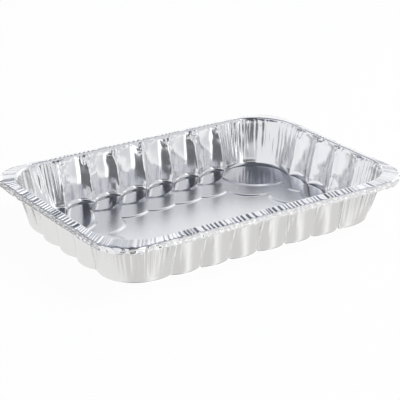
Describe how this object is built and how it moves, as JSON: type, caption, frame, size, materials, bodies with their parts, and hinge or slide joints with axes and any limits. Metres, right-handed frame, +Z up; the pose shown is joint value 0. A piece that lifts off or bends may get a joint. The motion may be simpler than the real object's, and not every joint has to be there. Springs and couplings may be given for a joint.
{
  "type": "foil tray",
  "caption": "Rectangular aluminium foil baking tray: fluted walls, rounded corners, sloping flange with a rolled edge, floor stepping down in scalloped flats.",
  "frame": {"origin": "middle of the footprint, on the surface that the tray stands on", "axes": "+X along the long side, +Y along the short side, +Z up out of the tray"},
  "size_m": [0.33, 0.233, 0.048],
  "materials": {
    "foil": "satin"
  },
  "bodies": {
    "root": {"foil_tray": "foil"}
  },
  "joints": []
}
